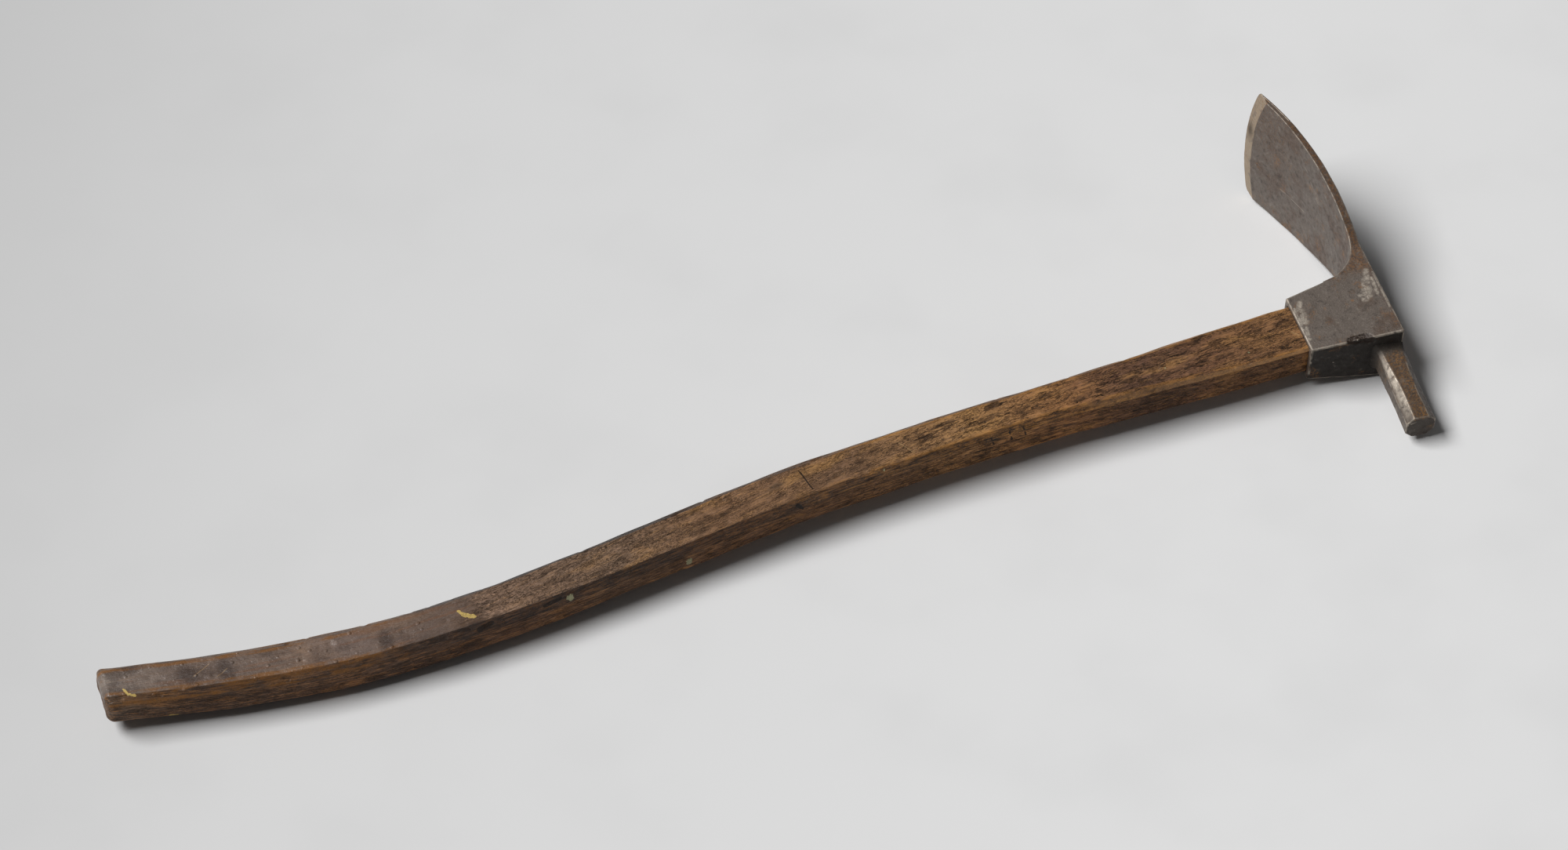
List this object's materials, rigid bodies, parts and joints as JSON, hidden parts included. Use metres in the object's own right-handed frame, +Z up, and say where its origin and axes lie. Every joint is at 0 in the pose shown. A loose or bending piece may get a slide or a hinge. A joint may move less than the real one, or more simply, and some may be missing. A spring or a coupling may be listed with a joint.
{
  "type": "adze",
  "caption": "Hand-forged adze lying on its side: a fan-shaped blade set crosswise, a flared eye with a square peg on its poll, and a long S-curved chamfered wooden haft.",
  "frame": {"origin": "on the floor under the middle of the laid tool", "axes": "+X from the butt of the haft to the head, +Y from the poll to the blade, +Z up"},
  "size_m": [0.812, 0.2488, 0.0946],
  "materials": {
    "wood": "dark worn hardwood, handled smooth, with open pores and scratches",
    "iron": null,
    "steel": "ground steel edge, dulled and brown in places",
    "peg": "forged iron with ochre rust, worn bright along one chamfer",
    "wedge": "plain hardwood end grain"
  },
  "bodies": {
    "root": {"haft": "wood", "eye_block": "iron", "blade": "iron", "edge_steel": "steel", "poll_peg": "peg", "wood_wedge": "wedge", "iron_wedges": "iron"}
  },
  "joints": []
}
